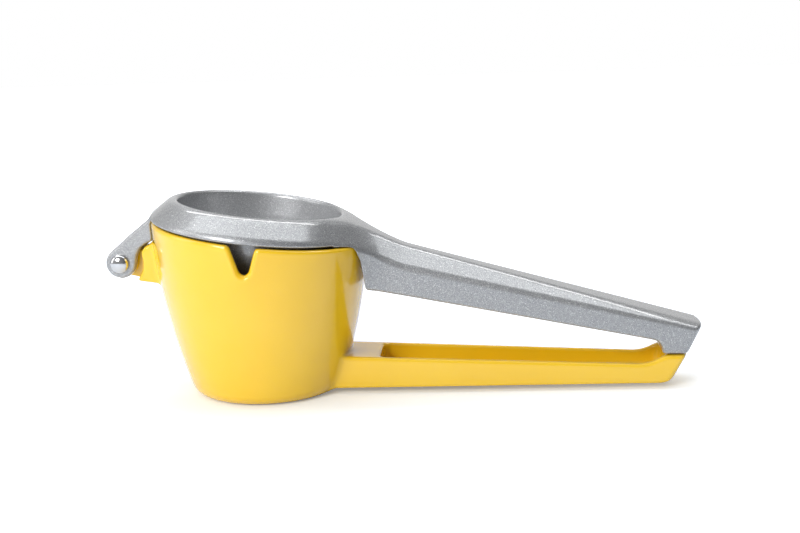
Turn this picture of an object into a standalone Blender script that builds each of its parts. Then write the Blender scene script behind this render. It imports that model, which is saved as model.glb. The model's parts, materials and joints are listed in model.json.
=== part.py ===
"""Hand citrus press: a cast cup with a channel handle, and a hinged press arm with a bowl.

Units are metres and +Z is up. The origin is the centre of the cup's flat base, on the
surface that it stands on. +X runs along the handles, and the hinge is on the -X side.
Dimensions below are in millimetres, and MM turns them into metres where they are used.
"""

import math

import bmesh
import bpy
from mathutils import Matrix, Vector

MM = 0.001
GAP = 0.35

# Cup, turned about the vertical axis: outer radius = FOOT + FLARE * z - BELLY * z * z
CUP_FOOT_R = 31.15
CUP_FLARE = 0.353
CUP_BELLY = 0.00213
CUP_FOOT_ROUND = 2.2
CUP_WALL = 2.4
CUP_LOWER_WALL = 4.4
CUP_FLOOR = 3.2
LEDGE_Z = 50.0
RIM_TILT = math.radians(7.5)
RIM_CENTRE = (-1.1, 69.6)
NOTCH_DEPTH = 13.0
NOTCH_TOP_HALF = 5.9
NOTCH_FOOT_HALF = 1.9
NOTCH_ROUND = 1.6

# Press ring and bowl, turned about an axis that leans with the rim
LIP_R = 45.4
CREST_R = 35.6
RING_HEIGHT = 9.8
BOWL_INNER_R = 33.3
BOWL_OUTER_R = 35.3
BOWL_DEPTH = 35.0
BOWL_WALL = 2.2
BOWL_FULLNESS = 1.9

# Hinge
PIN_X = -59.2
PIN_Z = 56.6
PIN_R = 2.5
BORE_R = 2.75
PIN_HEAD_R = 4.0
PIN_HEAD_RISE = 2.6
EAR_R = 6.4
EAR_OUTER_Y = 9.0
EAR_INNER_Y = 4.7
LUG_HALF = 3.6
LUG_R = 5.3
BLOCK_HALF = 9.3
BLOCK_RELIEF_R = 9.9
WASHER_THICKNESS = 0.6
WASHER_R = 4.9

# Handles
TIP_X = 185.4
HANDLE_BASE_Z = 1.7
PAD_Z = 14.3
ROOT_HALF = 14.0
END_HALF = 12.5
RAIL = 2.5
ARM_HALF = 12.5
SLOT_START_X = 49.4
SLOT_END_X = 168.4
CHANNEL_FLOOR = 3.0
ARM_WALL = 2.2
ARM_PLATE = 3.0
OPEN_LIMIT_DEG = 135.0
SWING_R = 46.1

# Strainer
STRAINER_RIM_R = 40.6
STRAINER_BOWL_R = 36.4
STRAINER_DEPTH = 21.5
STRAINER_FULLNESS = 2.3
STRAINER_SHEET = 1.0
HOLE_R = 1.45
HOLE_RINGS = ((0, 1), (6.2, 6), (12.4, 12), (18.6, 18))

TURN_STEPS = 48


def clear_scene():
    for obj in list(bpy.data.objects):
        bpy.data.objects.remove(obj, do_unlink=True)


def new_collection(name, hidden=False):
    collection = bpy.data.collections.new(name)
    bpy.context.scene.collection.children.link(collection)
    collection.hide_render = hidden
    return collection


def smooth_by_angle(limit):
    """A node group that shades every face smooth and keeps the edges over the limit sharp."""
    tree = bpy.data.node_groups.new("smooth_by_angle", "GeometryNodeTree")
    for way in ("INPUT", "OUTPUT"):
        tree.interface.new_socket("Geometry", in_out=way, socket_type="NodeSocketGeometry")
    source = tree.nodes.new("NodeGroupInput")
    result = tree.nodes.new("NodeGroupOutput")
    angle = tree.nodes.new("GeometryNodeInputMeshEdgeAngle")
    below = tree.nodes.new("FunctionNodeCompare")
    below.operation = "LESS_THAN"
    below.inputs["B"].default_value = limit
    faces = tree.nodes.new("GeometryNodeSetShadeSmooth")
    edges = tree.nodes.new("GeometryNodeSetShadeSmooth")
    edges.domain = "EDGE"
    tree.links.new(source.outputs["Geometry"], faces.inputs["Geometry"])
    tree.links.new(faces.outputs["Geometry"], edges.inputs["Geometry"])
    tree.links.new(angle.outputs["Unsigned Angle"], below.inputs["A"])
    tree.links.new(below.outputs["Result"], edges.inputs["Shade Smooth"])
    tree.links.new(edges.outputs["Geometry"], result.inputs["Geometry"])
    return tree


def make_material(name, colour, metallic, roughness, coat=0.0):
    material = bpy.data.materials.new(name)
    material.use_nodes = True
    shader = material.node_tree.nodes["Principled BSDF"]
    shader.inputs["Base Color"].default_value = (*colour, 1.0)
    shader.inputs["Metallic"].default_value = metallic
    shader.inputs["Roughness"].default_value = roughness
    shader.inputs["Coat Weight"].default_value = coat
    return material


def add_object(name, mesh, collection, cutter=False):
    obj = bpy.data.objects.new(name, mesh)
    collection.objects.link(obj)
    if cutter:
        obj.hide_render = True
        obj.display_type = "WIRE"
    return obj


def finish_mesh(name, bm):
    bmesh.ops.recalc_face_normals(bm, faces=bm.faces)
    mesh = bpy.data.meshes.new(name)
    bm.to_mesh(mesh)
    bm.free()
    return mesh


def arc(cx, cz, radius, start_deg, end_deg, count):
    """Points of an arc in degrees, both ends included."""
    points = []
    for i in range(count + 1):
        angle = math.radians(start_deg + (end_deg - start_deg) * i / count)
        points.append((cx + radius * math.cos(angle), cz + radius * math.sin(angle)))
    return points


def rounded(corners, count=4):
    """A polygon whose corners (x, z, radius) are replaced by arcs."""
    points = []
    for i, (x, z, radius) in enumerate(corners):
        corner = Vector((x, z))
        before = Vector(corners[i - 1][:2]) - corner
        after = Vector(corners[(i + 1) % len(corners)][:2]) - corner
        if radius == 0:
            points.append((x, z))
            continue
        half = before.angle(after) / 2
        reach = radius / math.tan(half)
        start = corner + before.normalized() * reach
        end = corner + after.normalized() * reach
        centre = corner + (before.normalized() + after.normalized()).normalized() * (
            radius / math.sin(half)
        )
        first = start - centre
        turn = first.angle_signed(end - centre)
        for step in range(count + 1):
            angle = -turn * step / count
            spoke = Matrix.Rotation(angle, 2) @ first
            points.append((centre.x + spoke.x, centre.y + spoke.y))
    return points


def flat_shape(name, outline, thickness, collection, cutter):
    """A closed outline as a filled 2D curve, extruded evenly about its plane and meshed."""
    curve = bpy.data.curves.new(name, "CURVE")
    curve.dimensions = "2D"
    curve.fill_mode = "BOTH"
    curve.extrude = thickness * MM / 2
    spline = curve.splines.new("POLY")
    spline.points.add(len(outline) - 1)
    for point, (u, v) in zip(spline.points, outline):
        point.co = (u * MM, v * MM, 0, 1)
    spline.use_cyclic_u = True
    guide = bpy.data.objects.new(name + "_outline", curve)
    bpy.context.scene.collection.objects.link(guide)
    graph = bpy.context.evaluated_depsgraph_get()
    bm = bmesh.new()
    bm.from_mesh(bpy.data.meshes.new_from_object(guide.evaluated_get(graph)))
    bpy.data.objects.remove(guide)
    bmesh.ops.remove_doubles(bm, verts=bm.verts, dist=1e-7)
    return add_object(name, finish_mesh(name, bm), collection, cutter)


def side_prism(name, outline, y_low, y_high, collection, cutter=False):
    """A side-view outline of (x, z) that runs from y_low to y_high."""
    obj = flat_shape(name, outline, y_high - y_low, collection, cutter)
    obj.rotation_euler.x = math.pi / 2
    obj.location.y = (y_low + y_high) / 2 * MM
    return obj


def plan_prism(name, outline, z_low, z_high, collection, cutter=False):
    """A plan-view outline of (x, y) that runs from z_low to z_high."""
    obj = flat_shape(name, outline, z_high - z_low, collection, cutter)
    obj.location.z = (z_low + z_high) / 2 * MM
    return obj


def turned(name, profile, collection, cutter=False, steps=TURN_STEPS):
    """A (radius, height) profile turned about the object's own Z axis by a Screw modifier."""
    ring = [*profile, profile[0]]
    if sum(a[0] * b[1] - b[0] * a[1] for a, b in zip(ring, ring[1:])) > 0:
        profile = profile[::-1]  # the outer side runs downwards, so that the faces point out
    bm = bmesh.new()
    verts = [bm.verts.new((r * MM, 0, z * MM)) for r, z in profile]
    for pair in zip(verts, verts[1:]):
        bm.edges.new(pair)
    if profile[0][0] > 0:
        bm.edges.new((verts[-1], verts[0]))
    mesh = bpy.data.meshes.new(name)
    bm.to_mesh(mesh)
    bm.free()
    obj = add_object(name, mesh, collection, cutter)
    screw = obj.modifiers.new("turn", "SCREW")
    screw.steps = steps
    screw.render_steps = steps
    screw.use_merge_vertices = True
    screw.merge_threshold = 1e-6
    return obj


def cylinder_y(name, x, z, radius, y_low, y_high, collection, sides=40, cutter=False):
    bm = bmesh.new()
    bmesh.ops.create_cone(
        bm,
        cap_ends=True,
        segments=sides,
        radius1=radius * MM,
        radius2=radius * MM,
        depth=(y_high - y_low) * MM,
    )
    bmesh.ops.rotate(bm, verts=bm.verts, matrix=Matrix.Rotation(math.pi / 2, 3, "X"))
    centre = (x * MM, (y_low + y_high) / 2 * MM, z * MM)
    bmesh.ops.translate(bm, verts=bm.verts, vec=centre)
    return add_object(name, finish_mesh(name, bm), collection, cutter)


def combine(target, other, operation):
    modifier = target.modifiers.new(f"{operation.lower()}_{other.name}", "BOOLEAN")
    modifier.operation = operation
    modifier.solver = "EXACT"
    modifier.object = other
    return target


def cup_radius(z):
    return CUP_FOOT_R + CUP_FLARE * z - CUP_BELLY * z * z


def rim_height(x, lift=0.0):
    return RIM_CENTRE[1] - (x - RIM_CENTRE[0]) * math.tan(RIM_TILT) + lift


def cup_wall_points(low, high, inset, count):
    heights = [low + (high - low) * i / count for i in range(count + 1)]
    return [(cup_radius(z) - inset, z) for z in heights]


def cup_outer_profile(top=84.0):
    """The cup's outer shape as a solid, from the axis at the base round to the axis on top."""
    r = CUP_FOOT_ROUND
    slope = math.degrees(math.atan(CUP_FLARE))
    foot = arc(cup_radius(r) - r - 0.35, r, r, -90, -slope, 4)
    wall = cup_wall_points(2 * r, top, 0.0, 7)
    return [(0, foot[0][1]), *foot, *wall, (0, top)]


def cup_clearance_profile():
    """A band round the cup's wall, which the arm and the ears keep out of as they swing."""
    wall = [(max(r, SWING_R + 0.06 * (58 - z)), z) for r, z in cup_wall_points(40.0, 84.0, -0.6, 8)]
    return [(36.8, 40.0), *wall, (36.8, 84.0)]


def cup_cavity_profile(top=90.0):
    """The cup's inside, with the ledge that the strainer sits on."""
    r = 5.0
    corner = arc(cup_radius(CUP_FLOOR) - CUP_LOWER_WALL - r, CUP_FLOOR + r, r, -90, -20, 4)
    lower = cup_wall_points(CUP_FLOOR + 2 * r, LEDGE_Z, CUP_LOWER_WALL, 4)
    upper = cup_wall_points(LEDGE_Z, top, CUP_WALL, 3)
    return [(0, CUP_FLOOR), *corner, *lower, *upper, (0, top)]


def notch_outline():
    """The V of a pouring notch, as seen from the side, with a rounded bottom."""
    top = rim_height(0)
    over = 10.0
    spread = NOTCH_TOP_HALF + (NOTCH_TOP_HALF - NOTCH_FOOT_HALF) * over / NOTCH_DEPTH
    foot = top - NOTCH_DEPTH
    return rounded(
        [
            (-spread, top + over, 0),
            (-NOTCH_FOOT_HALF, foot, NOTCH_ROUND),
            (NOTCH_FOOT_HALF, foot, NOTCH_ROUND),
            (spread, top + over, 0),
        ]
    )


def handle_half(x):
    share = (x - SLOT_START_X) / (TIP_X - SLOT_START_X)
    return ROOT_HALF + (END_HALF - ROOT_HALF) * share


def nose_plan(half, bow=2.5, corner=3.0):
    """The end that both handles share, from above: bowed, with eased corners."""
    bend = [half * (0.75 - 1.5 * i / 6) for i in range(7)]
    return [
        (TIP_X - bow - corner, half),
        (TIP_X - bow - 0.3 * corner, half - 0.25 * corner),
        *[(TIP_X - bow * (y / half) ** 2, y) for y in bend],
        (TIP_X - bow - 0.3 * corner, -half + 0.25 * corner),
        (TIP_X - bow - corner, -half),
    ]


def handle_plan():
    """The lower handle from above, starting inside the cup."""
    return [(18, handle_half(18)), *nose_plan(END_HALF), (18, -handle_half(18))]


def arm_end_plan():
    """Trims the arm's end to the same shape and leaves the rest of it alone."""
    half = ARM_HALF + 0.1
    return [(33, 40), (150, 40), (151, half), *nose_plan(half), (151, -half), (150, -40), (33, -40)]


def lower_handle_side():
    """Side outline of the cup's handle, with the fillet up to the end pad."""
    end_low = 169.6
    return rounded(
        [
            (20, HANDLE_BASE_Z, 0),
            (end_low, HANDLE_BASE_Z, 2.5),
            (TIP_X - 0.57 * (26.3 - PAD_Z), PAD_Z, 0),
            (166.6, PAD_Z, 1.2),
            (161.2, 10.7, 4.5),
            (74.5, 14.3, 0),
            (43.5, 15.3, 4.5),
            (36.0, 21.5, 0),
            (20, 21.5, 0),
        ]
    )


def slot_plan():
    start = handle_half(SLOT_START_X) - RAIL
    end = handle_half(SLOT_END_X) - RAIL
    return rounded(
        [
            (SLOT_START_X, -start, 3.5),
            (SLOT_START_X, start, 3.5),
            (SLOT_END_X, end, 4.0),
            (SLOT_END_X, -end, 4.0),
        ]
    )


def block_side():
    """The wide shoulder behind the hinge, relieved round the pin for the ears."""
    relief = arc(PIN_X, PIN_Z, BLOCK_RELIEF_R, 24, -34, 7)
    return [
        (-38.0, 68.5),
        (-43.2, 66.0),
        (-48.0, 63.6),
        (-49.2, 62.6),
        *relief,
        (-51.6, 49.8),
        (-50.8, 49.0),
        (-38.0, 45.4),
    ]


def lug_side():
    """The narrow tongue between the ears, round about the pin."""
    nose = arc(PIN_X, PIN_Z, LUG_R, 85, 255, 16)
    return [(-44.0, 62.2), (-49.8, 62.2), *nose, (-51.6, 49.6), (-44.0, 47.6)]


def ear_side():
    """One hinge ear: round about the pin, with a back that runs up into the ring."""
    end = arc(PIN_X, PIN_Z, EAR_R, -38, -180, 14)
    shoulder = arc(PIN_X + 0.9, PIN_Z + 1.0, EAR_R + 0.9, 168, 128, 5)
    throat = arc(-57.9, 67.8, 9.6, -26, -68, 4)
    return [
        *end,
        *shoulder,
        (-54.3, 69.4),
        (-49.4, 73.3),
        (-46.6, 76.0),
        (-43.6, 78.8),
        (-40.0, 79.6),
        (-40.0, 66.4),
        (-44.6, 66.9),
        *throat[:2],
        (-51.0, 61.0),
        (-52.2, 57.6),
    ]


def web_side():
    """What joins the two ears above the tongue."""
    clearance = arc(PIN_X, PIN_Z, LUG_R + 1.6, 100, 62, 5)
    return [
        (-57.4, 66.4),
        (-54.2, 69.0),
        (-49.3, 72.9),
        (-46.5, 75.6),
        (-43.5, 78.0),
        (-39.3, 78.8),
        (-39.3, 67.5),
        (-49.5, 66.0),
        *reversed(clearance),
    ]


def arm_top(x):
    """Height of the arm's top face: straight, then sweeping up to the ring."""
    straight = 57.27 - 0.2868 * (x - 75.0)
    reach = max(0.0, 62.0 - x)
    return straight + 0.27 * reach * reach / (reach + 9.0)


def arm_shoulder(x):
    """Height at which the sloping bevel meets the arm's upright side."""
    return 50.1 - 0.234 * (x - 75.5) + 0.35 * max(0.0, 62.0 - x)


def arm_bottom(x):
    return 38.3 - 0.2 * (x - 75.2)


def arm_half(x):
    """Half width: even along the grip, and flaring into the ring at the root."""
    reach = max(0.0, 66.0 - x)
    return ARM_HALF + 0.85 * (reach / 14.0) ** 3


def arm_top_half(x):
    """Half width of the flat top: narrow at the waist, wide at both ends."""
    waist = 5.5 + 0.0405 * max(0.0, x - 70.0)
    reach = max(0.0, 64.0 - x)
    return waist + 0.0165 * reach * reach


def arm_side():
    """Side outline that trims the arm: its underside and its end nub, which stands on the pad."""
    nub = rounded(
        [
            (TIP_X, 26.4, 2.0),
            (TIP_X - 0.57 * (26.4 - PAD_Z - GAP), PAD_Z + GAP, 0),
            (166.9, PAD_Z + GAP, 0.8),
            (165.4, arm_bottom(165.4), 3.6),
            (120.0, arm_bottom(120.0), 0),
        ]
    )
    return [
        (34.0, 90.0),
        (TIP_X - 3.6, 90.0),
        (TIP_X - 2.4, 28.9),
        *nub,
        (47.0, arm_bottom(47.0)),
        (41.6, 45.5),
        (41.2, rim_height(41.2, 0.6)),
        (34.0, rim_height(34.0, 0.6)),
    ]


def section_loft(name, sections, collection):
    """Faces between six-sided cross sections, each (x, top half, top, half, shoulder, foot)."""
    bm = bmesh.new()
    loops = []
    for x, top_half, top, half, shoulder, foot in sections:
        shape = [
            (-half, foot),
            (-half, shoulder),
            (-top_half, top),
            (top_half, top),
            (half, shoulder),
            (half, foot),
        ]
        loops.append([bm.verts.new((x * MM, y * MM, z * MM)) for y, z in shape])
    for near, far in zip(loops, loops[1:]):
        for i in range(6):
            bm.faces.new((near[i], near[i - 1], far[i - 1], far[i]))
    bm.faces.new(loops[0])
    bm.faces.new(list(reversed(loops[-1])))
    return add_object(name, finish_mesh(name, bm), collection, cutter=True)


def arm_sections():
    sections = []
    for x in (34.5, 38, 42, 46, 50, 54, 58, 62, 67, 75, 155, 190):
        half = arm_half(x)
        top_half = min(arm_top_half(x), half - 0.5)
        sections.append((x, top_half, arm_top(x), half, arm_shoulder(x), 0.0))
    return sections


def channel_sections():
    """The arm's hollow underside, one wall thickness inside its outer faces."""
    sections = []
    for x in (50, 56, 62, 67, 75, 155, 159.5):
        half = ARM_HALF - ARM_WALL
        top_half = min(arm_top_half(x) - 0.9, half - 1.5)
        shoulder = arm_shoulder(x) - 1.2
        sections.append((x, top_half, arm_top(x) - ARM_PLATE, half, shoulder, -5.0))
    return sections


def ring_profile():
    """Closed section of the ring and the bowl: (radius, height over the lip's underside)."""
    outside = [
        (BOWL_OUTER_R * (1 - t**BOWL_FULLNESS) ** (1 / BOWL_FULLNESS), -BOWL_DEPTH * t)
        for t in [1 - (i / 8) ** 2 for i in range(9)]
    ]
    inner_depth = BOWL_DEPTH - BOWL_WALL
    inside = [
        (
            BOWL_INNER_R * (1 - t**BOWL_FULLNESS) ** (1 / BOWL_FULLNESS),
            -inner_depth * t,
        )
        for t in [1 - (i / 8) ** 2 for i in range(9)]
    ]
    ring = [
        (LIP_R, 0.0),
        (LIP_R, 1.6),
        (LIP_R - 0.4, 2.5),
        (LIP_R - 1.2, 3.3),
        (38.6, 9.0),
        (37.6, 9.6),
        (36.4, RING_HEIGHT),
        (CREST_R - 0.4, 9.6),
        (34.6, 8.8),
        (34.25, 7.4),
    ]
    return [*outside, *ring, *reversed(inside)]


def dome_profile(radius, rise, count=4):
    """A domed head on its flat underside, from the axis to the edge and up."""
    points = [(0, 0), (radius, 0), (radius, 0.5)]
    for i in range(1, count + 1):
        angle = math.pi / 2 * i / count
        points.append((radius * math.cos(angle), 0.5 + (rise - 0.5) * math.sin(angle)))
    points[-1] = (0, rise)
    return points


def strainer_profile():
    """Closed section of the pressed strainer: a shallow bowl with a flat rim."""
    steps = [i / 6 for i in range(7)]

    def bowl(radius, depth):
        return [
            (radius * (1 - t**STRAINER_FULLNESS) ** (1 / STRAINER_FULLNESS), -depth * t)
            for t in [s * (2 - s) for s in steps]
        ]

    upper = bowl(STRAINER_BOWL_R, STRAINER_DEPTH)
    lower = bowl(STRAINER_BOWL_R + STRAINER_SHEET, STRAINER_DEPTH + STRAINER_SHEET)
    lower[0] = (STRAINER_BOWL_R + STRAINER_SHEET, -0.001)
    rim = [(STRAINER_RIM_R, 0), (STRAINER_RIM_R, STRAINER_SHEET)]
    start = [(STRAINER_BOWL_R, STRAINER_SHEET)]
    return [*reversed(lower), *rim, *start, *upper[1:]]


def build_cup(parts, cutters):
    cup = turned("cup_with_handle", cup_outer_profile(), parts)
    above = side_prism(
        "cut_above_rim",
        [(-70, rim_height(-70, -0.2 - GAP)), (70, rim_height(70, -0.2 - GAP)), (70, 120), (-70, 120)],
        -60,
        60,
        cutters,
        True,
    )
    handle = side_prism("form_handle_side", lower_handle_side(), -20, 20, cutters, True)
    outline = plan_prism("form_handle_plan", handle_plan(), -5, 30, cutters, True)
    combine(handle, outline, "INTERSECT")
    block = side_prism("form_block", block_side(), -BLOCK_HALF, BLOCK_HALF, cutters, True)
    lug = side_prism("form_lug", lug_side(), -LUG_HALF, LUG_HALF, cutters, True)
    slot = plan_prism(
        "cut_slot", slot_plan(), HANDLE_BASE_Z + CHANNEL_FLOOR, 40, cutters, True
    )
    cavity = turned("cut_cavity", cup_cavity_profile(), cutters, True)
    notches = side_prism("cut_notches", notch_outline(), -60, 60, cutters, True)
    bore = cylinder_y("cut_lug_bore", PIN_X, PIN_Z, BORE_R, -12, 12, cutters, 24, True)
    for form in (handle, block, lug):
        combine(cup, form, "UNION")
    for cutter in (above, slot, cavity, notches, bore):
        combine(cup, cutter, "DIFFERENCE")
    return cup


def build_press(parts, cutters):
    press = turned("press_arm", ring_profile(), parts)
    press.rotation_euler.y = RIM_TILT
    press.location = (RIM_CENTRE[0] * MM, 0, RIM_CENTRE[1] * MM)
    arm = section_loft("form_arm", arm_sections(), cutters)
    side = side_prism("form_arm_side", arm_side(), -40, 40, cutters, True)
    end = plan_prism("form_arm_end", arm_end_plan(), 5, 100, cutters, True)
    channel = section_loft("cut_channel", channel_sections(), cutters)
    combine(arm, side, "INTERSECT")
    combine(arm, end, "INTERSECT")
    combine(arm, channel, "DIFFERENCE")
    clearance = turned("cut_cup_clearance", cup_clearance_profile(), cutters, True)
    below = side_prism(
        "cut_below_lip",
        [(-70, rim_height(-70, -0.2)), (70, rim_height(70, -0.2)), (70, -20), (-70, -20)],
        -70,
        70,
        cutters,
        True,
    )
    combine(clearance, below, "INTERSECT")
    ears = []
    for side, name in ((1, "form_ear_left"), (-1, "form_ear_right")):
        low, high = sorted((side * EAR_INNER_Y, side * EAR_OUTER_Y))
        ears.append(side_prism(name, ear_side(), low, high, cutters, True))
    web = side_prism("form_web", web_side(), -EAR_INNER_Y - 1, EAR_INNER_Y + 1, cutters, True)
    bore = cylinder_y("cut_ear_bore", PIN_X, PIN_Z, BORE_R, -12, 12, cutters, 24, True)
    for ear in ears:
        combine(ear, bore, "DIFFERENCE")
    for form in (*ears, web, arm):
        combine(press, form, "UNION")
    combine(press, clearance, "DIFFERENCE")
    return press


def build_hinge_hardware(parts, cutters):
    """The shouldered pin with its domed head, the cap pressed on its far end, and washers."""
    seat = EAR_OUTER_Y + GAP
    shank_end = seat + 1.2
    pin = turned(
        "hinge_pin",
        [
            (0, -shank_end),
            (PIN_R, -shank_end),
            (PIN_R, seat),
            (PIN_HEAD_R, seat),
            *[(r, seat + z) for r, z in dome_profile(PIN_HEAD_R, PIN_HEAD_RISE)[2:]],
        ],
        parts,
        steps=24,
    )
    cap_wall = [(r, -seat - z) for r, z in reversed(dome_profile(PIN_HEAD_R, PIN_HEAD_RISE)[2:])]
    cap = turned(
        "hinge_pin_cap",
        [
            *cap_wall,
            (PIN_HEAD_R, -seat),
            (PIN_R + 0.15, -seat),
            (PIN_R + 0.15, -shank_end - GAP),
            (0, -shank_end - GAP),
        ],
        parts,
        steps=24,
    )
    washers = []
    middle = (LUG_HALF + EAR_INNER_Y) / 2
    for side, name in ((1, "hinge_washer_left"), (-1, "hinge_washer_right")):
        low = middle - WASHER_THICKNESS / 2
        high = middle + WASHER_THICKNESS / 2
        ring = [(BORE_R + 0.1, low), (WASHER_R, low), (WASHER_R, high), (BORE_R + 0.1, high)]
        washer = turned(name, [(r, -side * y) for r, y in ring], parts, steps=24)
        washers.append(washer)
    for piece in (pin, cap, *washers):
        piece.rotation_euler.x = math.pi / 2
        piece.location = (PIN_X * MM, 0, PIN_Z * MM)
    return pin, cap, washers


def build_strainer(parts, cutters):
    strainer = turned("strainer_basket", strainer_profile(), parts, steps=36)
    strainer.location = (0, 0, (LEDGE_Z + GAP) * MM)
    bm = bmesh.new()
    for ring_r, count in HOLE_RINGS:
        for i in range(count):
            angle = math.tau * i / count
            made = bmesh.ops.create_cone(
                bm,
                cap_ends=True,
                segments=8,
                radius1=HOLE_R * MM,
                radius2=HOLE_R * MM,
                depth=16 * MM,
            )
            place = (ring_r * math.cos(angle) * MM, ring_r * math.sin(angle) * MM, 0)
            bmesh.ops.translate(bm, verts=made["verts"], vec=place)
    holes = add_object("cut_strainer_holes", finish_mesh("holes", bm), cutters, True)
    holes.location = (0, 0, (LEDGE_Z - STRAINER_DEPTH) * MM)
    combine(strainer, holes, "DIFFERENCE")
    for side, name in ((1, "cut_scallop_left"), (-1, "cut_scallop_right")):
        scallop = turned(name, [(0, -5), (8.5, -5), (8.5, 5), (0, 5)], cutters, True, 24)
        scallop.location = (0, side * (STRAINER_RIM_R + 5.2) * MM, LEDGE_Z * MM)
        combine(strainer, scallop, "DIFFERENCE")
    return strainer


def hang_on_hinge(pieces, collection):
    """Parents the moving pieces to an empty on the pin's axis, which opens the press."""
    hinge = bpy.data.objects.new("press_hinge", None)
    hinge.empty_display_size = 0.012
    hinge.location = (PIN_X * MM, 0, PIN_Z * MM)
    collection.objects.link(hinge)
    for piece in pieces:
        piece.parent = hinge
        piece.location -= hinge.location


def main():
    clear_scene()
    parts = new_collection("citrus_press")
    cutters = new_collection("cutters", hidden=True)
    enamel = make_material("yellow_enamel", (0.87, 0.58, 0.03), 0.0, 0.18, 0.6)
    sparkle = make_material("silver_sparkle_paint", (0.42, 0.42, 0.43), 0.75, 0.42)
    chrome = make_material("polished_chrome", (0.75, 0.75, 0.76), 1.0, 0.07)
    cap_steel = make_material("chrome_cap", (0.75, 0.75, 0.76), 1.0, 0.08)
    stainless = make_material("stainless_sheet", (0.62, 0.62, 0.61), 1.0, 0.28)
    nylon = make_material("natural_nylon", (0.75, 0.73, 0.66), 0.0, 0.45)

    cup = build_cup(parts, cutters)
    press = build_press(parts, cutters)
    pin, cap, washers = build_hinge_hardware(parts, cutters)
    hang_on_hinge((press, pin, cap, *washers), parts)
    strainer = build_strainer(parts, cutters)
    finishes = [(cup, enamel), (press, sparkle), (pin, chrome), (cap, cap_steel)]
    finishes += [(strainer, stainless), *((washer, nylon) for washer in washers)]
    shading = smooth_by_angle(math.radians(35))
    for obj, material in finishes:
        obj.data.materials.append(material)
        obj.modifiers.new("smooth_by_angle", "NODES").node_group = shading


main()
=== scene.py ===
"""The looks of a hand citrus press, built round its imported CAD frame.

Each casting is meshed from a distance field in millimetres, so that its walls, fillets and eased
edges are one smooth surface with exact normals. The small turned pieces are lathed.
"""

import json
import math

import bmesh
import bpy
import numpy as np
from mathutils import Matrix, Vector

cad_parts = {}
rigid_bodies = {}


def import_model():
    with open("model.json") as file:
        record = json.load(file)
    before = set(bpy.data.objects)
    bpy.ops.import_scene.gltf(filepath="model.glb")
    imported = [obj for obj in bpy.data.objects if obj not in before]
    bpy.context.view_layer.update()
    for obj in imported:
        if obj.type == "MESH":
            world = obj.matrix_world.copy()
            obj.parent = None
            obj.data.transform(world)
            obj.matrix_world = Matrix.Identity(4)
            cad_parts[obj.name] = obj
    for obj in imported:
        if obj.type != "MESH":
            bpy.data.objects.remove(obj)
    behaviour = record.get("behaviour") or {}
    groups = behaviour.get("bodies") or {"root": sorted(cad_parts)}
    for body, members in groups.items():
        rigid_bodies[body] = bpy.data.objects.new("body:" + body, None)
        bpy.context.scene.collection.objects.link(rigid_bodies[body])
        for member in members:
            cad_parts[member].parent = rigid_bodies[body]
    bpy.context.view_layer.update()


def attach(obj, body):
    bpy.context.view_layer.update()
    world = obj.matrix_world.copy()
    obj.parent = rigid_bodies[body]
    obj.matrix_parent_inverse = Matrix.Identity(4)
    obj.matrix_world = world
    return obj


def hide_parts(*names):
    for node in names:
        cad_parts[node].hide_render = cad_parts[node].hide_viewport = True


MM = 0.001

# Cup, in millimetres: outer radius = FOOT + FLARE * z - BELLY * z * z
CUP_FOOT, CUP_FLARE, CUP_BELLY = 31.15, 0.353, 0.00213
CUP_WALL, CUP_LOWER_WALL, CUP_FLOOR, LEDGE_Z = 2.4, 4.4, 3.2, 50.0
RIM_TILT = math.radians(7.5)
RIM_X, RIM_Z = -1.2, 69.5
RIM_GAP = 0.5
NOTCH_FOOT_Z, NOTCH_FOOT_HALF, NOTCH_SLOPE = 56.7, 1.9, math.radians(17.1)
SPOUT, SPOUT_HALF, NOTCH_TAPER = 0.8, 5.4, 0.42
SPOUT_LOW_Z, SPOUT_RISE = 50.0, 9.0

# The space under the lip that the press leaves clear of the cup's wall
ROOM_SLACK, ROOM_ARM_SLACK, ROOM_ARM_R, ROOM_ARM_GROWTH, ROOM_ARM_Z = 0.3, 0.7, 46.0, 0.06, 58.0

# Hinge
PIN_X, PIN_Z = -59.2, 56.6
BORE_R, LUG_R, LUG_HALF, BLOCK_HALF = 2.75, 5.3, 3.6, 9.2
RELIEF_R = 9.9
EAR_R, EAR_IN, EAR_OUT = 6.2, 4.7, 9.0
EAR_SPREAD, EAR_SPREAD_X, WEB_HALF = 0.11, -52.0, 5.5

# Ring and bowl
LIP_R, RING_TOP, BOWL_IN, BOWL_OUT = 45.2, 9.8, 33.5, 35.2
BOWL_DEPTH, BOWL_WALL, BOWL_POWER, BOWL_TOP, MOUTH_FLARE = 34.9, 2.2, 1.9, 3.0, 0.09

# Arm: its top and underside fall in straight lines from their heights at ARM_AT
ARM_HALF, ARM_WALL, ARM_PLATE = 12.4, 2.2, 3.0
ARM_AT, ARM_TOP_Z, ARM_TOP_FALL = 75.0, 57.27, 0.2868
ARM_BOTTOM_Z, ARM_BOTTOM_FALL = 38.34, 0.2
ARM_RUN, ARM_RUN_LOSS, ARM_RUN_X = 7.8, 0.04, 63.0
ARM_DROP, ARM_DROP_LOSS, ARM_DROP_LEAST = 7.07, 0.053, 1.0
ARM_HOLLOW, HOLLOW_RUN_LOSS = (50.0, 160.0), 1.3
ARM_UNDER_X, NUB_X = 33.0, 166.4

# The arm's root, where it sweeps up and flares out into the ring
ROOT_X, ROOT_SWEEP, ROOT_SOFTNESS, ROOT_EASE = 62.0, 0.29, 9.0, 14.0
ROOT_CROWN, ROOT_CROWN_FADE, ROOT_END_X, ROOT_FADE = 0.003, 8.0, 40.0, 0.05
FLARE, FLARE_X, FLARE_FADE = 13.0, 35.5, 7.0
FLARE_LOW_Z, FLARE_RISE, FLARE_LOW_SHARE = 56.0, 8.0, 0.35

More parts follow.
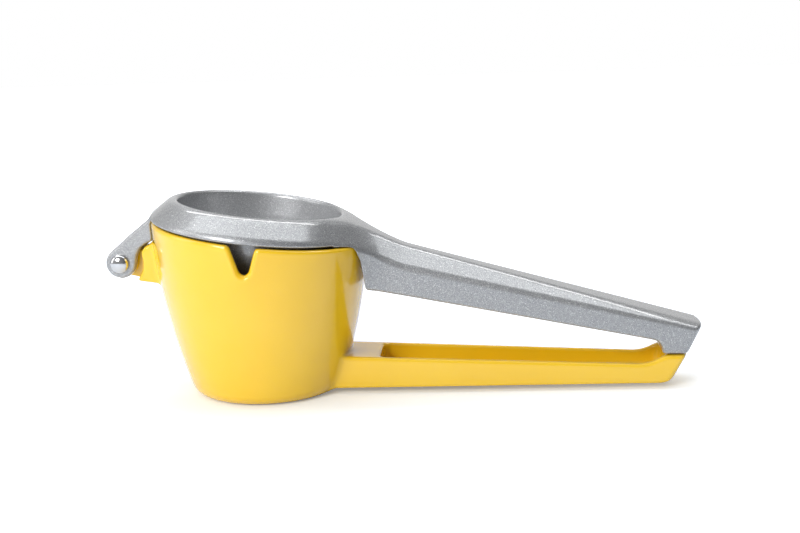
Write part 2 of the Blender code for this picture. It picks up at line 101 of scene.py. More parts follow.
# Handle ends and the lower handle
PAD_Z, NUB_Z, BASE_Z = 14.2, 14.75, 1.8
RAIL, CHANNEL_Z, PAD_RISE = 2.5, 4.8, math.radians(32)
END_X, TIP_X, END_BOW, ARM_RAKE, HANDLE_RAKE = 178.2, 183.9, 2.4, 0.49, 0.57
HANDLE_X, HANDLE_TOP_Z, HANDLE_FALL = 22.0, 14.279, 0.0425
HANDLE_HALF, HANDLE_TAPER = 14.0, 1.5 / 134.0
SLOT_START_X, SLOT_END_X, PAD_X, PAD_START_Z = 49.4, 168.2, 161.2, 10.6


# ---------------------------------------------------------------- distance fields


def smax(a, b, k):
    """The larger of two distances, with the crease between them eased over k."""
    h = np.maximum(k - np.abs(a - b), 0.0)
    return np.maximum(a, b) + h * h / (4.0 * k)


def smin(a, b, k):
    """The smaller of two distances, with the crease between them eased over k."""
    h = np.maximum(k - np.abs(a - b), 0.0)
    return np.minimum(a, b) - h * h / (4.0 * k)


def ease(share):
    """From 0 to 1 with a soft start and end."""
    share = np.clip(share, 0.0, 1.0)
    return share * share * (3.0 - 2.0 * share)


def polygon_distance(x, z, points):
    """Signed distance from (x, z) to a closed polygon, negative inside."""
    best = np.full(x.shape, 1e9, x.dtype)
    inside = np.zeros(x.shape, bool)
    for i, (bx, bz) in enumerate(points):
        ax, az = points[i - 1]
        ex, ez = bx - ax, bz - az
        px, pz = x - ax, z - az
        t = np.clip((px * ex + pz * ez) / (ex * ex + ez * ez), 0, 1)
        best = np.minimum(best, (px - t * ex) ** 2 + (pz - t * ez) ** 2)
        if ez != 0:
            crosses = (az > z) != (bz > z)
            inside ^= crosses & (px < pz * ex / ez)
    return np.sqrt(best) * np.where(inside, -1.0, 1.0)


def superellipse_distance(u, w, radius, depth, p):
    """About the distance to a bowl under w = 0, and to the cylinder that carries it on above."""
    a = np.abs(u) / radius + 1e-6
    b = np.maximum(-w, 0.0) / depth
    g = (a**p + b**p) ** (1 / p)
    slope = np.hypot((a / g) ** (p - 1) / radius, (b / g) ** (p - 1) / depth)
    return (g - 1.0) / slope


def cup_radius(z):
    return CUP_FOOT + CUP_FLARE * z - CUP_BELLY * z * z


def wall_distance(x, y, z):
    """Distance to the cup's outer surface, measured square to its slope."""
    slope = CUP_FLARE - 2 * CUP_BELLY * z
    return (np.hypot(x, y) - cup_radius(z)) / np.sqrt(1 + slope * slope)


def rim_coords(x, y, z):
    """(radius, height) about the leaning axis, measured from the plane of the lip's underside."""
    dx, dz = x - RIM_X, z - RIM_Z
    along = math.cos(RIM_TILT) * dx - math.sin(RIM_TILT) * dz
    return np.hypot(along, y), math.sin(RIM_TILT) * dx + math.cos(RIM_TILT) * dz


def end_distance(x, y, z, slope):
    """The raked and bowed end that both handles share."""
    bowed = x + END_BOW * (y / ARM_HALF) ** 2
    rake = (bowed - END_X - slope * (z - PAD_Z)) / math.hypot(1, slope)
    return smax(rake, bowed - TIP_X, 0.5)


def handle_half(x):
    return HANDLE_HALF - HANDLE_TAPER * (x - SLOT_START_X)


def arm_top(x):
    reach = np.maximum(0.0, ROOT_X - x)
    sweep = ROOT_SWEEP * reach * reach / (reach + ROOT_SOFTNESS)
    return ARM_TOP_Z - ARM_TOP_FALL * (x - ARM_AT) + sweep


def arm_half(x, z):
    """Half width: even along the grip, flaring at the root, and most of all up by the lip."""
    lift = ease((z - FLARE_LOW_Z) / FLARE_RISE)
    share = FLARE_LOW_SHARE + (1.0 - FLARE_LOW_SHARE) * lift
    return ARM_HALF + FLARE * share / (1.0 + np.exp((x - FLARE_X) / FLARE_FADE))


def arm_slope(x):
    """(run, drop) of the slope from the top to the upright side, narrowing towards the end."""
    run = ARM_RUN - ARM_RUN_LOSS * np.maximum(0.0, x - ARM_RUN_X)
    drop = ARM_DROP - ARM_DROP_LOSS * (x - ARM_AT)
    return run, np.clip(drop, ARM_DROP_LEAST, ARM_RUN)


def arm_bottom(x):
    return ARM_BOTTOM_Z - ARM_BOTTOM_FALL * (x - ARM_AT)


def slope_distance(plan, up, run, drop):
    """The slope that starts run inside the outline and falls drop on its way out to it."""
    return ((plan + run) * drop + up * run) / np.hypot(run, drop)


def arm_and_ring_field(x, y, z):
    """The ring and the arm share one outline, one top and one slope between the two."""
    u, w = rim_coords(x, y, z)
    side = np.abs(y)
    run, drop = arm_slope(x)
    past_root = np.maximum(x - ROOT_END_X, 0.0)
    crown = ROOT_CROWN * np.exp(-past_root / ROOT_CROWN_FADE) * y * y
    up = z - arm_top(x) + crown
    top = smax(w - RING_TOP - 0.05, up, 2.0)
    fade = ROOT_FADE * np.maximum(0.0, ROOT_END_X - x) ** 2
    plan = smin(u - LIP_R, side - arm_half(x, z) + fade, ROOT_EASE)
    body = smax(smax(plan, slope_distance(plan, top, run, drop), 1.5), 0.97 * top, 1.6)
    nub = smax(NUB_Z - z, NUB_X - x, 1.4)
    under = smin(0.98 * (arm_bottom(x) - z), nub, 4.5)
    body = smax(body, smin(-w, smax(under, ARM_UNDER_X - x, 1.0), 0.4), 1.5)
    body = smax(body, end_distance(x, y, z, ARM_RAKE), 1.5)
    inner_half = ARM_HALF - ARM_WALL
    plate = up + ARM_PLATE
    slope = slope_distance(side - inner_half, plate, run - HOLLOW_RUN_LOSS, drop)
    hollow = smax(smax(plate, slope, 2.0), side - inner_half, 2.0)
    hollow = smax(hollow, smax(ARM_HOLLOW[0] - x, x - ARM_HOLLOW[1], 1.0), 4.0)
    return smax(body, -hollow, 1.4)


EAR = [
    (-59.2, 50.2),
    (-55.6, 51.4),
    (-53.6, 53.6),
    (-52.6, 56.6),
    (-51.9, 60.1),
    (-50.6, 62.7),
    (-48.2, 64.7),
    (-44.2, 66.5),
    (-40.0, 66.4),
    (-38.6, 79.0),
    (-42.4, 78.0),
    (-45.6, 75.5),
    (-49.2, 72.7),
    (-54.8, 68.5),
    (-62.0, 62.3),
]
WEB = [
    (-57.2, 65.6),
    (-54.8, 67.5),
    (-49.2, 72.0),
    (-45.6, 74.9),
    (-42.4, 77.5),
    (-38.6, 78.6),
    (-39.0, 67.2),
    (-44.4, 66.5),
    (-49.4, 64.5),
    (-54.0, 63.6),
]
BLOCK = [
    (-36.0, 69.0),
    (-43.3, 66.0),
    (-48.4, 63.6),
    (-50.5, 60.5),
    (-53.0, 56.0),
    (-53.0, 50.9),
    (-52.7, 49.9),
    (-52.0, 49.2),
    (-50.9, 48.8),
    (-36.0, 46.6),
]
LUG = [
    (-44.0, 62.0),
    (-59.0, 61.9),
    (-59.2, 56.6),
    (-60.6, 51.5),
    (-51.6, 49.4),
    (-44.0, 47.4),
]


def ear_field(x, y, z):
    side = np.abs(y)
    shape = smin(
        polygon_distance(x, z, EAR), np.hypot(x - PIN_X, z - PIN_Z) - EAR_R, 1.0
    )
    spread = EAR_SPREAD * np.maximum(0.0, x - EAR_SPREAD_X)
    plate = smax(side - EAR_OUT - spread, EAR_IN - side, 0.6)
    ears = smax(shape, plate, 1.5)
    web = smax(polygon_distance(x, z, WEB), side - WEB_HALF, 1.0)
    both = smin(ears, web, 1.6)
    return smax(both, BORE_R - np.hypot(x - PIN_X, z - PIN_Z), 0.4)


def cup_room_field(x, y, z, w):
    """The cup's room under the lip, which widens downwards on the arm's side."""
    wall = cup_radius(z)
    under_arm = ROOM_ARM_R + ROOM_ARM_GROWTH * (ROOM_ARM_Z - z)
    by_arm = np.maximum(wall + ROOM_ARM_SLACK, under_arm)
    reach = np.where(x < 0.0, wall + ROOM_SLACK, by_arm)
    return smax(np.hypot(x, y) - reach, w + 0.05, 3.2)


def press_field(x, y, z):
    u, w = rim_coords(x, y, z)
    body = smin(arm_and_ring_field(x, y, z), ear_field(x, y, z), 1.4)
    body = smax(body, -cup_room_field(x, y, z, w), 1.1)
    bowl = superellipse_distance(u, w, BOWL_OUT, BOWL_DEPTH, BOWL_POWER)
    body = np.minimum(body, smax(bowl, w - BOWL_TOP, 0.5))
    mouth = u - MOUTH_FLARE * np.maximum(w, 0.0)
    cavity = superellipse_distance(mouth, w, BOWL_IN, BOWL_DEPTH - BOWL_WALL, BOWL_POWER)
    return smax(body, -cavity, 1.5)


def lower_handle_field(x, y, z):
    side = np.abs(y)
    top = z - (HANDLE_TOP_Z - HANDLE_FALL * (x - ARM_AT))
    rise = math.cos(PAD_RISE) * (z - PAD_START_Z) - math.sin(PAD_RISE) * (x - PAD_X)
    top = smin(top, smax(z - PAD_Z, rise, 1.5), 3.0)
    body = smax(smax(top, BASE_Z - z, 2.0), side - handle_half(x), 1.8)
    end = smax(end_distance(x, y, z, HANDLE_RAKE), BASE_Z - z, 3.5)
    body = smax(body, end, 1.6)
    return smax(body, HANDLE_X - x, 1.0)


def slot_field(x, y, z):
    side = np.abs(y) - (handle_half(x) - RAIL)
    plan = smax(side, smax(SLOT_START_X - x, x - SLOT_END_X, 1.0), 4.2)
    return smax(plan, CHANNEL_Z - z, 1.6)


def block_field(x, y, z):
    """The shoulder of the hinge, relieved round the pin so that the ears can turn."""
    relief = RELIEF_R - np.hypot(x - PIN_X, z - PIN_Z)
    block = smax(polygon_distance(x, z, BLOCK), np.abs(y) - BLOCK_HALF, 1.6)
    return smax(block, relief, 1.0)


def lug_field(x, y, z):
    """The tongue that the pin goes through."""
    lug = smin(
        polygon_distance(x, z, LUG), np.hypot(x - PIN_X, z - PIN_Z) - LUG_R, 0.8
    )
    return smax(lug, np.abs(y) - LUG_HALF, 1.0)


def notch_field(x, z, depth):
    """The pour notches' shape, which narrows with the depth into the wall."""
    half = NOTCH_FOOT_HALF + (z - NOTCH_FOOT_Z) * math.tan(NOTCH_SLOPE)
    sides = (np.sqrt(x * x + 0.3) - half) * math.cos(NOTCH_SLOPE)
    return smax(sides, NOTCH_FOOT_Z - z, 2.4) + NOTCH_TAPER * np.clip(depth, 0.0, 3.0)


def cup_field(x, y, z):
    u, w = rim_coords(x, y, z)
    lift = ease((z - SPOUT_LOW_Z) / SPOUT_RISE)
    spout = SPOUT * np.exp(-((x / SPOUT_HALF) ** 2)) * lift
    wall = wall_distance(x, y, z)
    body = smax(wall - spout, 0.05 - z, 4.6)
    body = smin(body, lower_handle_field(x, y, z), 1.8)
    body = smin(body, block_field(x, y, z), 2.2)
    body = smin(body, lug_field(x, y, z), 1.2)
    body = smax(body, -slot_field(x, y, z), 1.3)
    body = smax(body, w + RIM_GAP, 1.8)
    upper = smax(wall + CUP_WALL, LEDGE_Z - z, 0.4)
    lower = smax(wall + CUP_LOWER_WALL, CUP_FLOOR - z, 8.0)
    body = smax(body, -smin(upper, lower, 0.3), 0.9)
    body = smax(body, -notch_field(x, z, -wall), 1.8)
    body = smax(body, 0.04 - z, 0.3)
    return smax(body, BORE_R - np.hypot(x - PIN_X, z - PIN_Z), 0.4)


# The strainer: a pressed bowl on a flat flange, with a hole in the middle and three rings of holes
STRAINER_R, STRAINER_DEPTH, STRAINER_POWER, SHEET = 37.4, 22.5, 2.3, 1.0
STRAINER_LIFT, FLANGE_R, FLANGE_IN = 0.35, 40.5, 36.8
HOLE_PITCH, HOLE_R, HOLE_TOP = 6.2, 1.45, -12.0
SCALLOP_Y, SCALLOP_R = 45.8, 8.5


def strainer_field(x, y, z):
    up = z - (LEDGE_Z + STRAINER_LIFT)
    r = np.hypot(x, y)
    outer = superellipse_distance(r, up, STRAINER_R, STRAINER_DEPTH, STRAINER_POWER)
    inner = superellipse_distance(
        r, up, STRAINER_R - SHEET, STRAINER_DEPTH - SHEET, STRAINER_POWER
    )
    shell = smax(smax(outer, -inner, 0.3), up - 0.98, 0.3)
    flange = smax(smax(r - FLANGE_R, FLANGE_IN - r, 0.3), np.abs(up - 0.5) - 0.48, 0.5)
    body = smin(shell, flange, 1.4)
    angle = np.arctan2(y, x)
    for ring in (1, 2, 3):
        step = math.tau / (6 * ring)
        folded = angle - step * np.round(angle / step)
        across = r * np.cos(folded) - ring * HOLE_PITCH
        hole = np.hypot(across, r * np.sin(folded)) - HOLE_R
        body = smax(body, -smax(hole, up - HOLE_TOP, 0.2), 0.5)
    body = smax(body, -smax(r - HOLE_R, up - HOLE_TOP, 0.2), 0.5)
    scallop = np.hypot(x, np.abs(y) - SCALLOP_Y) - SCALLOP_R
    return smax(body, -scallop, 0.6)


# ---------------------------------------------------------------- meshing


def sample(field, points):
    return field(points[:, 0], points[:, 1], points[:, 2])


def gradient(field, points, reach=0.02):
    parts = []
    for axis in range(3):
        shift = np.zeros(3)
        shift[axis] = reach
        parts.append((sample(field, points + shift) - sample(field, points - shift)) / (2 * reach))
    return np.stack(parts, axis=1)


def sampled_grid(field, low, high, step, block=4):
    """Distances on a grid, worked out only near the surface and signed everywhere."""
    coarse = step * block
    cells = [int(math.ceil((h - l) / coarse)) for l, h in zip(low, high)]
    axes = [l + coarse * (np.arange(n) + 0.5) for l, n in zip(low, cells)]
    middles = np.stack(np.meshgrid(*axes, indexing="ij"), -1).reshape(-1, 3)
    rough = sample(field, middles).reshape(cells)
    near = np.abs(rough) < 1.05 * coarse
    for axis in range(3):
        near = near.repeat(block, axis)
        rough = rough.repeat(block, axis)
    values = np.pad(rough, ((0, 1),) * 3, mode="edge").astype(np.float32)
    wanted = np.zeros(values.shape, bool)
    for i in (0, 1):
        for j in (0, 1):
            for k in (0, 1):
                shape = near.shape
                wanted[i : i + shape[0], j : j + shape[1], k : k + shape[2]] |= near
    index = np.argwhere(wanted)
    points = index * step + np.array(low)
    values[wanted] = np.concatenate(
        [sample(field, part) for part in np.array_split(points, max(1, len(points) // 400000))]
    )
    return values


def surface_net(values):
    """Cell points and quads of the surface where the grid changes sign, in grid units."""
    inside = values < 0
    shape = [n - 1 for n in values.shape]
    count = np.zeros(shape, np.int8)
    corners = [(i, j, k) for i in (0, 1) for j in (0, 1) for k in (0, 1)]
    for i, j, k in corners:
        count += inside[i : i + shape[0], j : j + shape[1], k : k + shape[2]]
    cells = np.argwhere((count > 0) & (count < 8))
    at = {c: values[cells[:, 0] + c[0], cells[:, 1] + c[1], cells[:, 2] + c[2]] for c in corners}
    total = np.zeros((len(cells), 3))
    hits = np.zeros(len(cells))
    for a in corners:
        for axis in range(3):
            if a[axis]:
                continue
            b = tuple(1 if n == axis else v for n, v in enumerate(a))
            fa, fb = at[a], at[b]
            crosses = (fa < 0) != (fb < 0)
            t = np.where(crosses, fa / np.where(crosses, fa - fb, 1), 0)
            place = np.array(a, float) + t[:, None] * np.eye(3)[axis]
            total += place * crosses[:, None]
            hits += crosses
    points = cells + total / hits[:, None]
    number = np.full(shape, -1, np.int32)
    number[tuple(cells.T)] = np.arange(len(cells))
    quads = []
    for axis in range(3):
        one, two = (axis + 1) % 3, (axis + 2) % 3
        first = np.moveaxis(inside, axis, 0)[:-1]
        second = np.moveaxis(inside, axis, 0)[1:]
        found = np.argwhere(np.moveaxis(first != second, 0, axis))
        found = found[(found[:, one] > 0) & (found[:, two] > 0)]
        found = found[(found[:, one] < shape[one]) & (found[:, two] < shape[two])]
        ring = []
        for a, b in ((1, 1), (0, 1), (0, 0), (1, 0)):
            cell = found.copy()
            cell[:, one] -= a
            cell[:, two] -= b
            ring.append(number[tuple(cell.T)])
        quad = np.stack(ring, axis=1)
        outward = inside[tuple(found.T)]
        quads.append(np.where(outward[:, None], quad, quad[:, ::-1]))
    return points, np.concatenate(quads)


def field_piece(name, field, low, high, step):
    """An object whose surface is the field's zero, with the field's own normals."""
    points, quads = surface_net(sampled_grid(field, low, high, step))
    points = points * step + np.array(low)
    for _ in range(3):
        slope = gradient(field, points)
        size = np.maximum((slope**2).sum(1), 0.05)
        move = slope * (sample(field, points) / size)[:, None]
        reach = np.linalg.norm(move, axis=1)
        points -= move * np.minimum(1, 0.5 * step / np.maximum(reach, 1e-9))[:, None]
    slope = gradient(field, points)
    normals = slope / np.maximum(np.linalg.norm(slope, axis=1), 1e-6)[:, None]
    mesh = bpy.data.meshes.new(name)
    mesh.from_pydata((points * MM).tolist(), [], quads.tolist())
    mesh.shade_smooth()
    mesh.normals_split_custom_set_from_vertices(normals.tolist())
    obj = bpy.data.objects.new(name, mesh)
    bpy.context.scene.collection.objects.link(obj)
    return obj


def lathe_piece(name, profile, steps=64):
    """A closed (radius, height) profile in millimetres turned about Y, head towards -Y."""
    verts, faces = [], []
    for i in range(steps):
        angle = math.tau * i / steps
        for r, h in profile:
            verts.append((r * math.cos(angle) * MM, -h * MM, r * math.sin(angle) * MM))
    n = len(profile)
    for i in range(steps):
        j = (i + 1) % steps
        for k in range(n):
            m = (k + 1) % n
            faces.append((i * n + k, i * n + m, j * n + m, j * n + k))
    mesh = bpy.data.meshes.new(name)
    mesh.from_pydata(verts, [], faces)
    obj = bpy.data.objects.new(name, mesh)
    bpy.context.scene.collection.objects.link(obj)
    bm = bmesh.new()
    bm.from_mesh(mesh)
    bmesh.ops.remove_doubles(bm, verts=bm.verts, dist=1e-7)
    bmesh.ops.dissolve_degenerate(bm, edges=bm.edges, dist=1e-7)
    bmesh.ops.recalc_face_normals(bm, faces=bm.faces)
    bm.to_mesh(mesh)
    bm.free()
    mesh.shade_smooth()
    mesh.set_sharp_from_angle(angle=math.radians(40))
    obj.location = (PIN_X * MM, 0, PIN_Z * MM)
    return obj


# ---------------------------------------------------------------- materials


def new_material(name):
    material = bpy.data.materials.new(name)
    material.use_nodes = True
    tree = material.node_tree
    return material, tree, tree.nodes["Principled BSDF"]


def add_node(tree, kind, inputs=None, **settings):
    node = tree.nodes.new(kind)
    for key, value in settings.items():
        setattr(node, key, value)
    for key, value in (inputs or {}).items():
        node.inputs[key].default_value = value
    return node


def ramp(tree, source, stops):
    node = add_node(tree, "ShaderNodeValToRGB")
    while len(node.color_ramp.elements) < len(stops):
        node.color_ramp.elements.new(0.5)
    for element, (at, colour) in zip(node.color_ramp.elements, stops):
        element.position = at
        element.color = (*colour, 1.0)
    tree.links.new(source, node.inputs["Fac"])
    return node.outputs["Color"]


def object_coords(tree):
    return add_node(tree, "ShaderNodeTexCoord").outputs["Object"]


def noise(tree, vector, scale, detail=2.0, roughness=0.5):
    node = add_node(
        tree,
        "ShaderNodeTexNoise",
        {"Scale": scale, "Detail": detail, "Roughness": roughness},
    )
    tree.links.new(vector, node.inputs["Vector"])
    return node.outputs["Fac"]


def bump(tree, height, strength, distance):
    node = add_node(tree, "ShaderNodeBump", {"Strength": strength, "Distance": distance})
    tree.links.new(height, node.inputs["Height"])
    return node.outputs["Normal"]


def enamel_material():
    """Thick glossy yellow enamel: a slight drift in colour and a very soft orange peel."""
    material, tree, shader = new_material("yellow_enamel_look")
    where = object_coords(tree)
    drift = noise(tree, where, 22.0, 3.0)
    colour = ramp(tree, drift, [(0.3, (0.92, 0.56, 0.008)), (0.7, (0.95, 0.60, 0.016))])
    tree.links.new(colour, shader.inputs["Base Color"])
    gloss = ramp(tree, noise(tree, where, 60.0, 4.0), [(0.3, (0.2,) * 3), (0.75, (0.27,) * 3)])
    tree.links.new(gloss, shader.inputs["Roughness"])
    shader.inputs["Coat Weight"].default_value = 1.0
    shader.inputs["Coat Roughness"].default_value = 0.05
    peel = noise(tree, where, 420.0, 1.0)
    tree.links.new(bump(tree, peel, 0.06, 0.0003), shader.inputs["Normal"])
    return material


def painted_light_inside_bowl(tree, where, colour):
    """Painted light: mixes a pale grey into the paint inside the press bowl, brightening what
    these lamps leave darker there.
    """
    flat = add_node(tree, "ShaderNodeVectorMath", operation="MULTIPLY")
    flat.inputs[1].default_value = (1.0, 1.0, 0.0)
    tree.links.new(where, flat.inputs[0])
    radius = add_node(tree, "ShaderNodeVectorMath", operation="LENGTH")
    tree.links.new(flat.outputs["Vector"], radius.inputs[0])
    # How much painted light is mixed in: up to 0.30 inside the bowl's wall, none outside it
    share = add_node(
        tree,
        "ShaderNodeMapRange",
        {"From Min": 0.0325, "From Max": 0.0350, "To Min": 0.30, "To Max": 0.0},
    )
    tree.links.new(radius.outputs["Value"], share.inputs["Value"])
    mix = add_node(tree, "ShaderNodeMix", data_type="RGBA")
    # The pale grey of the painted light inside the bowl
    mix.inputs["B"].default_value = (0.8, 0.81, 0.83, 1.0)
    tree.links.new(share.outputs["Result"], mix.inputs["Factor"])
    tree.links.new(colour, mix.inputs["A"])
    return mix.outputs["Result"]


def sparkle_material():
    """Silver paint full of fine metal flake under a thin satin varnish, with painted light
    lightening it inside the press bowl.
    """
    material, tree, shader = new_material("silver_sparkle_look")
    where = object_coords(tree)
    flake = add_node(tree, "ShaderNodeTexVoronoi", {"Scale": 5200.0, "Randomness": 1.0})
    tree.links.new(where, flake.inputs["Vector"])
    split = add_node(tree, "ShaderNodeSeparateColor")
    tree.links.new(flake.outputs["Color"], split.inputs["Color"])
    colour = ramp(
        tree,
        split.outputs["Red"],
        [
            (0.0, (0.24, 0.245, 0.255)),
            (0.55, (0.35, 0.355, 0.365)),
            (0.93, (0.46, 0.465, 0.475)),
            (1.0, (0.9, 0.9, 0.9)),
        ],
    )
    # The flake colour, with painted light mixed in inside the press bowl
    tree.links.new(painted_light_inside_bowl(tree, where, colour), shader.inputs["Base Color"])
    rough = ramp(tree, split.outputs["Green"], [(0.0, (0.3,) * 3), (1.0, (0.5,) * 3)])
    tree.links.new(rough, shader.inputs["Roughness"])
    shader.inputs["Metallic"].default_value = 0.6
    shader.inputs["Coat Weight"].default_value = 1.0
    shader.inputs["Coat Roughness"].default_value = 0.11
    shader.inputs["Coat IOR"].default_value = 1.75
    tree.links.new(
        bump(tree, split.outputs["Blue"], 0.2, 0.00008), shader.inputs["Normal"]
    )
    return material


def metal_material(name, colour, low, high, scale, stretch=(1, 1, 1)):
    """Plain metal whose polish varies a little, in lines if stretched."""
    material, tree, shader = new_material(name)
    mapping = add_node(tree, "ShaderNodeMapping")
    mapping.inputs["Scale"].default_value = stretch
    tree.links.new(object_coords(tree), mapping.inputs["Vector"])
    grain = noise(tree, mapping.outputs["Vector"], scale, 4.0, 0.6)
    tree.links.new(
        ramp(tree, grain, [(0.3, (low,) * 3), (0.7, (high,) * 3)]), shader.inputs["Roughness"]
    )
    shade = tuple(c * 0.93 for c in colour)
    tree.links.new(
        ramp(tree, grain, [(0.25, shade), (0.75, colour)]), shader.inputs["Base Color"]
    )
    shader.inputs["Metallic"].default_value = 1.0
    return material


def nylon_material():
    material, tree, shader = new_material("natural_nylon_look")
    where = object_coords(tree)
    cloud = noise(tree, where, 300.0, 3.0)
    colour = ramp(tree, cloud, [(0.3, (0.68, 0.66, 0.58)), (0.7, (0.76, 0.74, 0.68))])
    tree.links.new(colour, shader.inputs["Base Color"])
    shader.inputs["Roughness"].default_value = 0.42
    shader.inputs["Subsurface Weight"].default_value = 0.2
    shader.inputs["Subsurface Radius"].default_value = (0.001, 0.001, 0.001)
    return material


def floor_material():
    material, tree, shader = new_material("studio_floor")
    where = object_coords(tree)
    cloud = noise(tree, where, 3.0, 2.0)
    colour = ramp(tree, cloud, [(0.3, (0.84, 0.88, 0.94)), (0.7, (0.86, 0.90, 0.96))])
    tree.links.new(colour, shader.inputs["Base Color"])
    shader.inputs["Roughness"].default_value = 0.6
    shader.inputs["Specular IOR Level"].default_value = 0.2
    reach = add_node(tree, "ShaderNodeVectorMath", operation="LENGTH")
    tree.links.new(where, reach.inputs[0])
    glow = add_node(
        tree,
        "ShaderNodeMapRange",
        {"From Min": 0.02, "From Max": 0.6, "To Min": 0.22, "To Max": 1.0},
        interpolation_type="SMOOTHSTEP",
    )
    tree.links.new(reach.outputs["Value"], glow.inputs["Value"])
    shader.inputs["Emission Color"].default_value = (1.0, 1.0, 1.0, 1.0)
    seen = add_node(tree, "ShaderNodeMath", operation="MULTIPLY")
    tree.links.new(glow.outputs["Result"], seen.inputs[0])
    tree.links.new(add_node(tree, "ShaderNodeLightPath").outputs["Is Camera Ray"], seen.inputs[1])
    tree.links.new(seen.outputs["Value"], shader.inputs["Emission Strength"])
    return material


# ---------------------------------------------------------------- the object


# The pin's domed heads and its shank, and the washers
HEAD_R, HEAD_SEAT, HEAD_RISE, HEAD_EDGE = 3.95, 9.35, 2.5, 0.45
SHANK_R, SHANK_END, CAP_END = 2.5, 10.4, 11.2
WASHER_R, WASHER_BORE_R, WASHER_IN, WASHER_OUT = 4.88, 2.9, 3.87, 4.43


def domed_head(sign):
    """Profile of the polished head on one end of the pin, from its seat's edge to its crown."""
    points = [(HEAD_R - 0.15, sign * HEAD_SEAT)]
    steps = 12
    for i in range(steps + 1):
        angle = math.pi / 2 * i / steps
        height = HEAD_SEAT + HEAD_EDGE + (HEAD_RISE - HEAD_EDGE) * math.sin(angle)
        points.append((HEAD_R * math.cos(angle), sign * height))
    points[-1] = (0.0, points[-1][1])
    return points


def washer_profile(side):
    ring = [
        (WASHER_BORE_R, WASHER_IN),
        (WASHER_R - 0.18, WASHER_IN),
        (WASHER_R, WASHER_IN + 0.13),
        (WASHER_R, WASHER_OUT - 0.13),
        (WASHER_R - 0.18, WASHER_OUT),
        (WASHER_BORE_R, WASHER_OUT),
    ]
    return [(r, side * h) for r, h in ring]


def build_hinge():
    chrome = metal_material("polished_chrome_look", (0.66, 0.66, 0.67), 0.1, 0.15, 90.0)
    shank = [
        (0.0, -SHANK_END),
        (SHANK_R - 0.2, -SHANK_END),
        (SHANK_R, 0.2 - SHANK_END),
        (SHANK_R, 9.2),
        (2.4, HEAD_SEAT),
    ]
    pin = lathe_piece("hinge_pin_polished", [*shank, *domed_head(1)])
    dress(pin, chrome, "press", "hinge_pin")
    collar = [(0.0, -CAP_END), (2.7, 0.2 - CAP_END), (2.7, -HEAD_SEAT)]
    cap = lathe_piece("hinge_pin_cap_polished", [*collar, *domed_head(-1)])
    dress(cap, chrome, "press", "hinge_pin_cap")
    nylon = nylon_material()
    for side, node in ((-1, "hinge_washer_left"), (1, "hinge_washer_right")):
        washer = lathe_piece(node + "_moulded", washer_profile(side))
        dress(washer, nylon, "press", node)


def dress(piece, material, body, node):
    piece.data.materials.append(material)
    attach(piece, body)
    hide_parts(node)


def build_castings():
    fine = 0.5
    cup = field_piece("cup_casting", cup_field, (-68, -48, -2), (184, 48, 80), fine)
    dress(cup, enamel_material(), "base", "cup_with_handle")
    press = field_piece("press_casting", press_field, (-68, -48, 12), (188, 48, 88), fine)
    dress(press, sparkle_material(), "press", "press_arm")
    strainer = field_piece(
        "strainer_sheet", strainer_field, (-43, -43, 26), (43, 43, 54), 0.4 * (fine / 0.5)
    )
    steel = metal_material("stainless_sheet_look", (0.66, 0.66, 0.65), 0.22, 0.36, 160.0)
    dress(strainer, steel, "base", "strainer_basket")


# ---------------------------------------------------------------- studio


def area_light(name, place, target, size, power, colour=(1, 1, 1)):
    data = bpy.data.lights.new(name, "AREA")
    data.shape = "RECTANGLE"
    data.size, data.size_y = size
    data.energy = power
    data.color = colour
    light = bpy.data.objects.new(name, data)
    light.location = place
    aim = Vector(target) - Vector(place)
    light.rotation_euler = aim.to_track_quat("-Z", "Y").to_euler()
    bpy.context.scene.collection.objects.link(light)
    return light


ROOM_LEFT, ROOM_RIGHT, BACKDROP = 0.5, 0.12, 0.45
KEY_POWER, TOP_POWER, SIDE_POWER, BACK_POWER = 5.8, 4.2, 1.2, 3.4


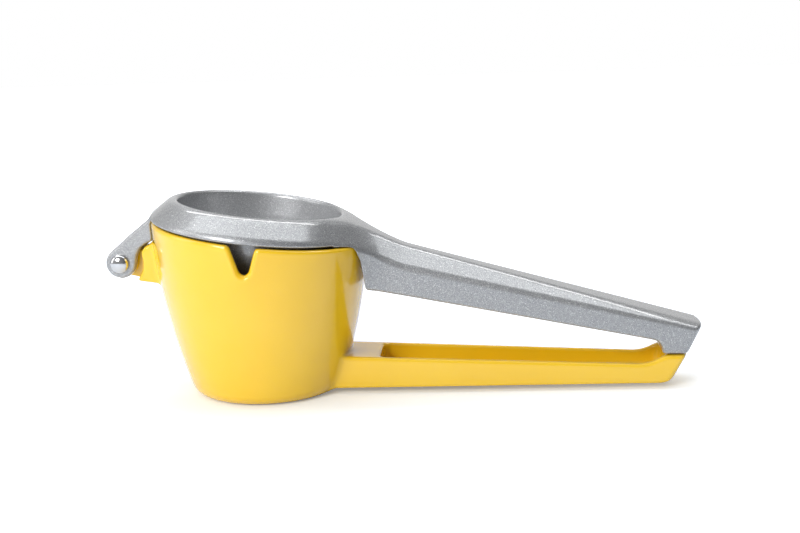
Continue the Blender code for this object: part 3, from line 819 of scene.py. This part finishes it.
def build_studio():
    mesh = bpy.data.meshes.new("floor")
    reach = 3.0
    mesh.from_pydata(
        [(-reach, -reach, 0), (reach, -reach, 0), (reach, reach, 0), (-reach, reach, 0)],
        [],
        [(0, 1, 2, 3)],
    )
    floor = bpy.data.objects.new("floor", mesh)
    floor.data.materials.append(floor_material())
    bpy.context.scene.collection.objects.link(floor)
    world = bpy.data.worlds.new("studio")
    world.use_nodes = True
    tree = world.node_tree
    seen = tree.nodes["Background"]
    seen.inputs["Color"].default_value = (1.0, 1.0, 1.0, 1.0)
    seen.inputs["Strength"].default_value = 1.0
    room = add_node(tree, "ShaderNodeBackground", {"Color": (1, 1, 1, 1)})
    way = add_node(tree, "ShaderNodeSeparateXYZ")
    tree.links.new(add_node(tree, "ShaderNodeTexCoord").outputs["Generated"], way.inputs["Vector"])
    dim = add_node(
        tree,
        "ShaderNodeMapRange",
        {"From Min": -1.0, "From Max": 0.8, "To Min": ROOM_LEFT, "To Max": ROOM_RIGHT},
    )
    tree.links.new(way.outputs["X"], dim.inputs["Value"])
    backdrop = add_node(
        tree,
        "ShaderNodeMapRange",
        {"From Min": 0.7, "From Max": 0.95, "To Min": 0.0, "To Max": BACKDROP},
    )
    tree.links.new(way.outputs["Y"], backdrop.inputs["Value"])
    both = add_node(tree, "ShaderNodeMath", operation="ADD")
    tree.links.new(dim.outputs["Result"], both.inputs[0])
    tree.links.new(backdrop.outputs["Result"], both.inputs[1])
    tree.links.new(both.outputs["Value"], room.inputs["Strength"])
    ray = add_node(tree, "ShaderNodeLightPath")
    mix = add_node(tree, "ShaderNodeMixShader")
    tree.links.new(ray.outputs["Is Camera Ray"], mix.inputs["Fac"])
    tree.links.new(room.outputs["Background"], mix.inputs[1])
    tree.links.new(seen.outputs["Background"], mix.inputs[2])
    tree.links.new(mix.outputs["Shader"], tree.nodes["World Output"].inputs["Surface"])
    bpy.context.scene.world = world
    bpy.context.scene.view_settings.view_transform = "Standard"
    middle = (0.05, 0, 0.04)
    area_light("key", (-0.4, -0.8, 0.5), middle, (0.36, 0.3), KEY_POWER)
    area_light("top", (0.05, -0.06, 0.9), middle, (1.7, 0.4), TOP_POWER, (0.95, 0.98, 1.0))
    area_light("side", (-0.8, -0.2, 0.35), middle, (0.4, 0.6), SIDE_POWER)
    area_light("back", (0.06, 0.38, 0.85), middle, (1.3, 0.12), BACK_POWER)


# The camera that matches the studio view: where it looks, from how far, and how it is turned
CAMERA_TARGET = (0.05821, 0.0, 0.05139)
CAMERA_DISTANCE = 0.53524
CAMERA_ELEVATION = math.radians(10.97)
CAMERA_AZIMUTH = math.radians(4.09)
CAMERA_ROLL = math.radians(-1.89)
CAMERA_LENS = 57.06


def build_camera():
    data = bpy.data.cameras.new("camera")
    data.lens, data.sensor_width = CAMERA_LENS, 36.0
    data.clip_start, data.clip_end = 0.01, 50.0
    camera = bpy.data.objects.new("camera", data)
    level = math.cos(CAMERA_ELEVATION)
    back = Vector(
        (
            math.sin(CAMERA_AZIMUTH) * level,
            -math.cos(CAMERA_AZIMUTH) * level,
            math.sin(CAMERA_ELEVATION),
        )
    )
    right = Vector((math.cos(CAMERA_AZIMUTH), math.sin(CAMERA_AZIMUTH), 0))
    up = back.cross(right)
    turned_right = math.cos(CAMERA_ROLL) * right + math.sin(CAMERA_ROLL) * up
    turned_up = -math.sin(CAMERA_ROLL) * right + math.cos(CAMERA_ROLL) * up
    place = Vector(CAMERA_TARGET) + back * CAMERA_DISTANCE
    camera.matrix_world = Matrix(
        (
            (turned_right.x, turned_up.x, back.x, place.x),
            (turned_right.y, turned_up.y, back.y, place.y),
            (turned_right.z, turned_up.z, back.z, place.z),
            (0, 0, 0, 1),
        )
    )
    bpy.context.scene.collection.objects.link(camera)
    bpy.context.scene.camera = camera


for leftover in list(bpy.data.objects):
    bpy.data.objects.remove(leftover)
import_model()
build_castings()
build_hinge()
build_studio()
build_camera()
